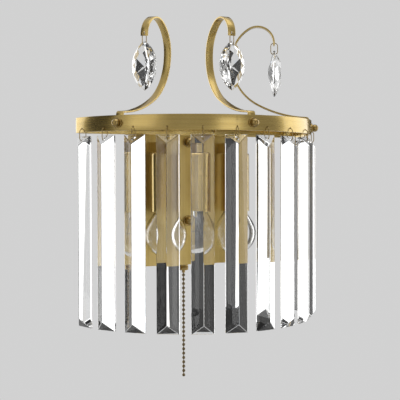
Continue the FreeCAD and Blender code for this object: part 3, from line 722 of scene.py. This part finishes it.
def makePendant(name):
    joint = next(j for j in frame["joints"] if j["name"] == "pendant_%s_swing" % name)
    # back to the front of the ring, where the stone is cut
    axis = atRing(-scrollAngles[name]) @ Vector(joint["pos_m"])
    below = pendantStone["bend"] - pendantStone["hang"] + pendantStone["seat"] + pendantStone["holeDrop"]
    top = axis.z + below
    half = pendantStone["thickness"] / 2
    bm = bmesh.new()
    for way, tiers in ((-1, pendantStone["frontTiers"]), (1, pendantStone["backTiers"])):
        for share, depth, sides, shift in tiers:
            pointedRing(bm, share, way * depth * half, sides, shift)
    made = bmesh.ops.convex_hull(bm, input=bm.verts[:], use_existing_faces=False)
    spare = set(vertsOf(made["geom_interior"] + made["geom_unused"]))
    bmesh.ops.delete(bm, geom=list(spare), context="VERTS")
    bmesh.ops.delete(bm, geom=[e for e in bm.edges if not e.link_faces], context="EDGES")
    bmesh.ops.dissolve_limit(bm, angle_limit=math.radians(0.5), verts=bm.verts[:], edges=bm.edges[:])
    outward(bm)
    bmesh.ops.translate(bm, vec=(axis.x, axis.y, top - pendantStone["height"] / 2), verts=bm.verts)
    stone = objectFrom("pendantStone" + name.title(), bm)
    drills = bmesh.new()
    hole = (axis.x, axis.y, top - pendantStone["holeDrop"])
    addDrill(drills, pendantStone["hole"], "stone", hole, (0, 1, 0), 32)
    cutWith(stone, drills)
    # round to its place
    stone.data.transform(atRing(scrollAngles[name]))
    stone.visible_shadow = False
    dress(stone, "pendant_" + name, pendantCrystal, ("pendant_" + name,))


for pendantName in scrollAngles:
    makePendant(pendantName)
print("pendants made")


# ---------- ball nuts ----------
plateNut = {
    "flange": 5.6 * mm, "base": 1.6 * mm, "neck": 3.5 * mm, "ball": 4.4 * mm, "height": 9.0 * mm,
    "bore": 2.05 * mm, "depth": 5.6 * mm, "round": 0.5 * mm,
}
ringNut = {
    "flange": 4.9 * mm, "base": 1.4 * mm, "neck": 3.1 * mm, "ball": 3.9 * mm, "height": 7.6 * mm,
    "bore": 2.05 * mm, "depth": 4.7 * mm, "round": 0.5 * mm,
}
studSpacing = 83.0 * mm


def ballNut(nut):
    middle = nut["height"] - nut["ball"]
    start = max(nut["base"], middle - math.sqrt(nut["ball"] ** 2 - nut["neck"] ** 2))
    lean = math.degrees(math.asin((start - middle) / nut["ball"]))
    waist = nut["ball"] * math.cos(math.radians(lean))
    edge = nut["round"]
    points = [(0, nut["depth"]), (nut["bore"], nut["depth"]), (nut["bore"], 0), (nut["flange"], 0)]
    points += arcPoints(nut["flange"] - edge, nut["base"] - edge, edge, 0, 90, 5)
    points += [(waist, nut["base"])] + arcPoints(0, middle, nut["ball"], lean, 90, 22)
    return spinProfile(points, 40)


def makeNuts():
    outwards = Matrix.Rotation(math.radians(90), 4, "X")
    onPlate = [Matrix.Translation((0, wallPlate["front"], z)) @ outwards
               for z in (studSpacing / 2, -studSpacing / 2)]
    onFront = Matrix.Translation((0, wallPlate["front"] - ringReach, wallPlate["bandMiddle"])) @ outwards
    onRing = [atRing(angle) @ onFront for angle in scrollAngles.values()]
    for name, nut, places, node in (("plateNuts", plateNut, onPlate, "plate_cap_nuts"),
                                    ("scrollNuts", ringNut, onRing, "scroll_cap_nuts")):
        nuts = copiesOf(name, ballNut(nut), places, smoothBelow["turned"])
        dress(nuts, "root", paintedDarkTurnedBrass, (node,))


makeNuts()
print("ball nuts made")


# ---------- lamps ----------
lampSleeve = {
    "radius": lampRadius, "wall": 1.0 * mm, "top": 29.7 * mm, "bottom": -31.3 * mm, "round": 3.0 * mm,
    "hole": 3.45 * mm, "bead": 0.8 * mm, "beadInset": 0.6 * mm, "beadTurn": (41, -221),
}
clearLamp = {
    "centre": -54.5 * mm, "radius": 22.0 * mm, "wall": 2.6 * mm,
    "neck": 6.3 * mm, "neckWall": 1.0 * mm, "neckLow": -23.1 * mm, "neckLength": 6.0 * mm, "blend": 3.0 * mm,
}
lampCap = {
    "radius": 7.0 * mm, "wall": 0.5 * mm, "top": -2.1 * mm, "bottom": -23.1 * mm, "shoulder": 3.4 * mm,
    "contact": 2.4 * mm, "contactTop": -0.3 * mm, "thread": 0.28 * mm, "pitch": 2.6 * mm, "plain": 2.2 * mm,
}
lampStem = {
    # pressed is how far the foot is flattened, bowOut and bowDown pull on the curve of the lead wires
    "radius": 2.2 * mm, "foot": -40.1 * mm, "top": -20.1 * mm, "press": 4.0 * mm, "pressed": 0.45,
    "lead": 0.3 * mm, "leadSpread": 1.1 * mm, "leadRoot": 2.0 * mm, "bowOut": 1.5, "bowDown": 1.6,
    "spread": 9.0 * mm, "drop": 13.0 * mm, "coil": 0.36 * mm, "coilWire": 0.11 * mm, "turns": 26,
}


def sleeveForm():
    top, bottom, edge = lampSleeve["top"], lampSleeve["bottom"], lampSleeve["round"]
    outer, wall, bead = lampSleeve["radius"], lampSleeve["wall"], lampSleeve["bead"]
    points = [(lampSleeve["hole"], top)] + arcPoints(outer - edge, top - edge, edge, 90, 0, 10)
    points += arcPoints(outer - lampSleeve["beadInset"], bottom + bead, bead, *lampSleeve["beadTurn"], 20)
    points += arcPoints(outer - edge, top - edge, edge - wall, 0, 90, 8) + [(lampSleeve["hole"], top - wall)]
    return spinProfile(points, 96, close=True)


def bowed(start, pull, stop, steps):
    # points from start to stop, on a curve that is drawn towards pull
    shares = [n / steps for n in range(steps + 1)]
    return [start * (1 - t) ** 2 + pull * 2 * t * (1 - t) + stop * t ** 2 for t in shares]


def globeOutline(radius, neck):
    # from the neck's open end down to the bottom of the globe, heights from the globe's centre
    rise = clearLamp["neckLow"] - clearLamp["centre"]
    lean = math.atan2(neck, rise) + math.acos(radius / math.hypot(neck, rise))
    shoulder = Vector((neck, rise))
    tangent = Vector((radius * math.sin(lean), radius * math.cos(lean)))
    slope = (tangent - shoulder).normalized() * clearLamp["blend"]
    upper = Vector((neck, rise + clearLamp["blend"]))
    points = [(neck, rise + clearLamp["neckLength"])]
    points += [tuple(spot) for spot in bowed(upper, shoulder, shoulder + slope, 8)]
    return points + arcPoints(0, 0, radius, 90 - math.degrees(lean), -90, 40)


def globeForm():
    outer = globeOutline(clearLamp["radius"], clearLamp["neck"])
    inner = globeOutline(clearLamp["radius"] - clearLamp["wall"], clearLamp["neck"] - clearLamp["neckWall"])
    points = [(r, z + clearLamp["centre"]) for r, z in outer[::-1] + inner]
    return spinProfile(points, 72)


def capForm():
    # the screw thread is a row of soft rings
    top, bottom, wall = lampCap["top"], lampCap["bottom"], lampCap["wall"]
    low, high = bottom + lampCap["plain"], top - lampCap["shoulder"]
    steps = 48
    outer = [(lampCap["radius"], bottom)]
    for n in range(steps + 1):
        z = low + (high - low) * n / steps
        wave = 0.5 - 0.5 * math.cos(math.tau * (z - low) / lampCap["pitch"])
        outer.append((lampCap["radius"] - lampCap["thread"] * wave, z))
    inner = [(r - wall, z) for r, z in outer]
    contact, tip = lampCap["contact"], lampCap["contactTop"]
    points = [(0, top - wall), (contact - wall, top - wall)] + inner[::-1] + outer
    points += [(contact, top), (contact, tip), (0, tip)]
    return spinProfile(points, 56)


def stemForm():
    # glass stem, drawn out to a flat press at its foot
    radius, foot, press = lampStem["radius"], lampStem["foot"], lampStem["press"]
    points = [(0, lampStem["top"]), (radius, lampStem["top"]), (radius, foot + press)]
    points += arcPoints(0, foot + radius, radius, 0, -90, 10)
    bm = spinProfile(points, 32)
    for v in bm.verts:
        near = max(0.0, min(1.0, (foot + press - v.co.z) / press))
        v.co.y *= 1 - lampStem["pressed"] * near
    return bm


def sweepTube(bm, path, radius, sides):
    # a round tube along a list of points, closed at both ends
    rings = []
    for n, spot in enumerate(path):
        ahead = (path[min(n + 1, len(path) - 1)] - path[max(n - 1, 0)]).normalized()
        turn = ahead.to_track_quat("Z", "Y").to_matrix().to_4x4()
        made = bmesh.ops.create_circle(bm, cap_ends=n in (0, len(path) - 1), segments=sides, radius=radius,
                                       matrix=Matrix.Translation(spot) @ turn)
        rings.append(made["verts"])
    for first, second in zip(rings, rings[1:]):
        for n in range(sides):
            m = (n + 1) % sides
            bm.faces.new((first[n], first[m], second[m], second[n]))


def wiresForm():
    bm = bmesh.new()
    root, end = lampStem["foot"] + lampStem["leadRoot"], lampStem["foot"] - lampStem["drop"]
    for way in (-1, 1):
        x = way * lampStem["leadSpread"]
        middle = Vector((x * lampStem["bowOut"], 0, root - lampStem["leadRoot"] * lampStem["bowDown"]))
        stop = Vector((way * lampStem["spread"], 0, end))
        sweepTube(bm, bowed(Vector((x, 0, root)), middle, stop, 12), lampStem["lead"], 10)
    count = lampStem["turns"] * 10
    coil = []
    for n in range(count + 1):
        share, turn = n / count, math.tau * lampStem["turns"] * n / count
        coil.append(Vector((lampStem["spread"] * (2 * share - 1), lampStem["coil"] * math.cos(turn),
                            end + lampStem["coil"] * math.sin(turn))))
    sweepTube(bm, coil, lampStem["coilWire"], 5)
    outward(bm, 0)
    return bm


def makeLamps():
    for side, x in lampSides.items():
        place = [Matrix.Translation((x, lampDepth, 0))]
        pieces = (
            ("lampSleeve", sleeveForm, "turned", sleeveBrass[side], ("lamp_sleeve_" + side,),
             "antique_brass"),
            ("lampGlobe", globeForm, "round", bulbGlass, ("bulb_glass_" + side,), None),
            ("lampCap", capForm, "cap", nickel, ("bulb_cap_" + side,), None),
            ("lampStem", stemForm, "round", bulbGlass, ("bulb_filament_" + side,), None),
            ("lampWires", wiresForm, "round", filamentWire, (), None),
        )
        for name, form, edges, material, replaced, slot in pieces:
            piece = copiesOf(name + side.title(), form(), place, smoothBelow[edges])
            piece.visible_shadow = material is not bulbGlass
            dress(piece, "root", material, replaced)


makeLamps()
print("lamps made")


# ---------- pull switch ----------
pullSwitch = {
    "y": -10.0 * mm, "top": -88.0 * mm, "bottom": -94.8 * mm, "radius": 5.2 * mm, "bore": 4.05 * mm,
    "round": 0.9 * mm, "collar": 2.2 * mm, "groove": 0.35 * mm, "knurl": 0.16 * mm, "flutes": 48,
}
returnSpring = {
    "bottom": -85.6 * mm, "top": -72.2 * mm, "radius": 2.6 * mm, "wire": 0.35 * mm, "turns": 6, "steps": 32,
    "travel": 8.0 * mm, "closed": 2.1, "slack": 0.01 * mm,      # closed is in wires' radii
}
ballChain = {
    "pin": -96.4 * mm, "lead": 3.6 * mm, "pitch": 4.66 * mm, "beads": 24, "bead": 1.7 * mm, "wire": 0.5 * mm,
    "root": 1.0 * mm, "lip": 0.72 * mm, "lipStep": 0.12 * mm,
    "eye": 1.25 * mm, "eyeWidth": 1.1 * mm, "eyeHole": 0.6 * mm, "eyeEdge": 0.3 * mm,
}


def makeSwitchNut():
    top, bottom, radius = pullSwitch["top"], pullSwitch["bottom"], pullSwitch["radius"]
    edge, groove, step = pullSwitch["round"], pullSwitch["groove"], top - pullSwitch["collar"]
    bore = pullSwitch["bore"]
    points = [(bore, top), (radius - groove, top), (radius, top - groove), (radius, step + groove)]
    points += [(radius - groove, step), (radius - groove, step - groove), (radius, step - 2 * groove)]
    points += arcPoints(radius - edge, bottom + edge, edge, 0, -90, 6) + [(bore, bottom)]
    bm = spinProfile(points, 2 * pullSwitch["flutes"], close=True)
    # every second column of the lower rim is pressed in
    rim = radius - 0.01 * mm
    for v in bm.verts:
        column = round(math.atan2(v.co.y, v.co.x) / math.tau * 2 * pullSwitch["flutes"])
        if column % 2 and math.hypot(v.co.x, v.co.y) > rim and v.co.z < step - groove:
            v.co.x *= 1 - pullSwitch["knurl"] / radius
            v.co.y *= 1 - pullSwitch["knurl"] / radius
    place = [Matrix.Translation((0, pullSwitch["y"], 0))]
    nut = copiesOf("switchNut", bm, place, smoothBelow["turned"])
    dress(nut, "root", paintedDarkTurnedBrass, ("switch_nut",))


def makeSpring():
    # the end turns lie closed, the turns between them share the rest of the height
    radius, wire, turns = returnSpring["radius"], returnSpring["wire"], returnSpring["turns"]
    low, high = returnSpring["bottom"] + wire, returnSpring["top"] - wire
    closed = returnSpring["closed"] * wire
    path = []
    for n in range(turns * returnSpring["steps"] + 1):
        turn = n / returnSpring["steps"]
        if turn < 1:
            z = low + closed * turn
        elif turn > turns - 1:
            z = high - closed * (turns - turn)
        else:
            z = low + closed + (high - low - 2 * closed) * (turn - 1) / (turns - 2)
        way = math.tau * turn
        path.append(Vector((radius * math.cos(way), radius * math.sin(way), z)))
    bm = bmesh.new()
    sweepTube(bm, path, wire - returnSpring["slack"], 12)
    outward(bm, 0)
    place = [Matrix.Translation((0, pullSwitch["y"], 0))]
    spring = copiesOf("switchSpring", bm, place, smoothBelow["round"])
    dress(spring, "root", zincSteel, ("switch_spring",))
    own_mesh(spring)


def makeChain():
    wire, bead, lip = ballChain["wire"], ballChain["bead"], ballChain["lip"]
    lean = math.degrees(math.acos(lip / bead))
    lipRise = bead * math.sin(math.radians(lean)) + ballChain["lipStep"]
    points = [(0, -ballChain["root"]), (wire, -ballChain["root"])]
    for n in range(ballChain["beads"]):
        centre = -ballChain["lead"] - n * ballChain["pitch"]
        last = n == ballChain["beads"] - 1
        # each bead has a small lip where the wire enters it
        points += [(wire, centre + lipRise), (lip, centre + lipRise)]
        points += arcPoints(0, centre, bead, lean, -90 if last else -lean, 12)
        if not last:
            points += [(lip, centre - lipRise), (wire, centre - lipRise)]
    chain = spinProfile(points, 20)
    half, radius, hole = ballChain["eyeWidth"] / 2, ballChain["eye"], ballChain["eyeHole"]
    edge = ballChain["eyeEdge"]
    section = [(hole, -half), (hole, half)] + arcPoints(radius - edge, half - edge, edge, 90, 0, 4)
    section += arcPoints(radius - edge, edge - half, edge, 0, -90, 4)
    eye = spinProfile(section, 32, close=True)
    quarterTurn(eye, "X")
    eyeMesh = bpy.data.meshes.new("chainEye")
    eye.to_mesh(eyeMesh)
    eye.free()
    chain.from_mesh(eyeMesh)
    bpy.data.meshes.remove(eyeMesh)
    place = [Matrix.Translation((0, pullSwitch["y"], ballChain["pin"]))]
    piece = copiesOf("ballChain", chain, place, smoothBelow["cap"])
    dress(piece, "pull_chain", chainBrassPaintedDark, ("pull_chain",))


makeSwitchNut()
makeSpring()
makeChain()
print("pull switch made")


# ---------- carried-over pieces ----------
def finishNodes():
    plain = {
        "backplate": plateBrass,
        "wall_strap": zincSteel,
        "mounting_studs": zincSteel,
        "ring_bar_screws": paintedDarkTurnedBrass,
        "scroll_screws": paintedDarkTurnedBrass,
        "switch_housing": phenolic,
        "pull_rod": paintedDarkTurnedBrass,
        "terminal_block": whiteNylon,
        "lead_wires": whiteNylon,
    }
    for name in scrollAngles:
        plain["pendant_ring_" + name] = wireBrass
    for n in range(prismCount):
        plain["prism_hook_%02d" % (n + 1)] = wireBrass
    for side in lampSides:
        plain["lamp_arm_" + side] = plateBrass
        plain["lampholder_" + side] = phenolic
    for name, material in plain.items():
        mesh = nodes[name].data
        mesh.materials.clear()
        mesh.materials.append(material)


finishNodes()
print("carried-over pieces finished")


# ---------- stage and light ----------
stage = {
    "floorLevel": -1.10,
    "floorSize": 12.0,
    "paper": 0.64,          # how bright floor and background look
    "fill": 0.55,           # level of the even light from all round
    "fillColour": (1.0, 0.995, 0.985),
    "fade": (0.8, 3.0),     # metres from the middle, where the floor turns into background
    "floorGrey": (0.62, 0.62, 0.62, 1),
}


def seenRay(tree):
    # 1 where the camera, a reflection or glass looks straight at it
    path = addNode(tree, "ShaderNodeLightPath")
    seen = addMath(tree, "MAXIMUM", path.outputs["Is Camera Ray"], path.outputs["Is Glossy Ray"])
    return addMath(tree, "MAXIMUM", seen, path.outputs["Is Transmission Ray"])


def addGlow(tree, kind, strength, colour=(1.0, 1.0, 1.0)):
    glow = addNode(tree, kind)
    setInputs(glow, {"Color": colour + (1.0,), "Strength": strength})
    return glow.outputs[0]


def mixShaders(tree, factor, first, second):
    mix = addNode(tree, "ShaderNodeMixShader")
    linkInputs(tree, mix, {0: factor, 1: first, 2: second})
    return mix.outputs[0]


def makeWorld():
    world = bpy.data.worlds.new("paleRoom")
    bpy.context.scene.world = world
    world.use_nodes = True
    tree = world.node_tree
    tree.nodes.clear()
    fill = addGlow(tree, "ShaderNodeBackground", stage["fill"], stage["fillColour"])
    seen = addGlow(tree, "ShaderNodeBackground", stage["paper"])
    out = addNode(tree, "ShaderNodeOutputWorld")
    linkInputs(tree, out, {0: mixShaders(tree, seenRay(tree), fill, seen)})


def makeFloor():
    bm = bmesh.new()
    bmesh.ops.create_circle(bm, cap_ends=True, segments=96, radius=stage["floorSize"],
                            matrix=Matrix.Translation((0, 0, stage["floorLevel"])))
    floor = objectFrom("paleFloor", bm)
    material, tree, shader = newMaterial("floorPaper")
    parts = addNode(tree, "ShaderNodeSeparateXYZ")
    linkInputs(tree, parts, {0: objectPlace(tree)})
    squares = [addMath(tree, "MULTIPLY", side, side) for side in parts.outputs[:2]]
    away = addMath(tree, "SQRT", addMath(tree, "ADD", *squares))
    far = addMath(tree, "MULTIPLY", seenRay(tree), spread(tree, away, *stage["fade"]))
    setInputs(shader, {"Base Color": stage["floorGrey"], "Roughness": 0.9, "Specular IOR Level": 0.0})
    glow = addGlow(tree, "ShaderNodeEmission", stage["paper"])
    linkInputs(tree, tree.nodes["Material Output"], {0: mixShaders(tree, far, shader.outputs[0], glow)})
    floor.data.materials.append(material)


def roomPlace(azimuth, elevation, distance):
    # azimuth 0 is straight in front of the sconce, 90 to the viewer's right
    a, e = math.radians(azimuth), math.radians(elevation)
    return Vector((math.sin(a) * math.cos(e), -math.cos(a) * math.cos(e), math.sin(e))) * distance


softLights = (
    # name, azimuth, elevation, distance, width, height, brightness of the lamp's face
    ("rightBox", 89.5, 4, 2.3, 2.0, 2.4, 1.2),
    ("behindBox", -160.5, 4, 2.3, 2.3, 2.4, 1.25),
    ("frontLeftBox", -68, 10, 2.5, 1.1, 1.8, 0.56),
    ("frontBox", 9, -4, 2.5, 0.8, 1.8, 0.85),
    ("topBox", 20, 78, 1.9, 1.8, 1.8, 1.2),
)
roomScreens = (
    # name, from azimuth, to azimuth, foot, brightness, as the glass and the metal see them
    ("leftScreen", -133, -97, -1.05, 0.06),
    ("frontScreen", -48, -4, -1.05, 0.44),
    ("frontRightScreen", 23, 63, -1.05, 0.36),
    ("gapScreen", 113, 139, -1.05, 0.0),
    ("overScreen", 139, 163, 0.85, 0.02),
    ("backScreen", 163, 173.5, -1.05, 0.03),
)
screenShape = {"distance": 3.4, "high": 2.6, "steps": 12, "colour": (1.0, 0.99, 0.97)}
lightAim = Vector((0, -50 * mm, 0))


def aimed(place):
    aim = (lightAim - place).to_track_quat("-Z", "Y")
    return Matrix.Translation(place) @ aim.to_matrix().to_4x4()


def makeLights():
    for name, azimuth, elevation, distance, width, height, brightness in softLights:
        data = bpy.data.lights.new(name, "AREA")
        data.shape = "RECTANGLE"
        data.size, data.size_y = width, height
        data.energy = brightness * math.pi * width * height
        light = bpy.data.objects.new(name, data)
        bpy.context.scene.collection.objects.link(light)
        light.matrix_world = aimed(roomPlace(azimuth, elevation, distance))
        light.visible_camera = False


def makeScreens():
    # upright screens beside and above the picture, seen only in reflections and through glass
    for name, start, stop, low, brightness in roomScreens:
        bm = bmesh.new()
        foot = roomPlace(start, 0, screenShape["distance"])
        ends = [bm.verts.new(foot + Vector((0, 0, level))) for level in (low, screenShape["high"])]
        bmesh.ops.spin(bm, geom=ends + [bm.edges.new(ends)], cent=(0, 0, 0), axis=zAxis, dvec=(0, 0, 0),
                       angle=math.radians(stop - start), steps=screenShape["steps"], use_duplicate=False)
        screen = objectFrom(name, bm)
        material, tree = newMaterial(name + "Cloth")[:2]
        glow = addGlow(tree, "ShaderNodeEmission", brightness, screenShape["colour"])
        linkInputs(tree, tree.nodes["Material Output"], {0: glow})
        screen.data.materials.append(material)
        screen.visible_camera = False
        screen.visible_diffuse = False
        screen.visible_shadow = False


makeWorld()
makeFloor()
makeLights()
makeScreens()
print("stage and light set")
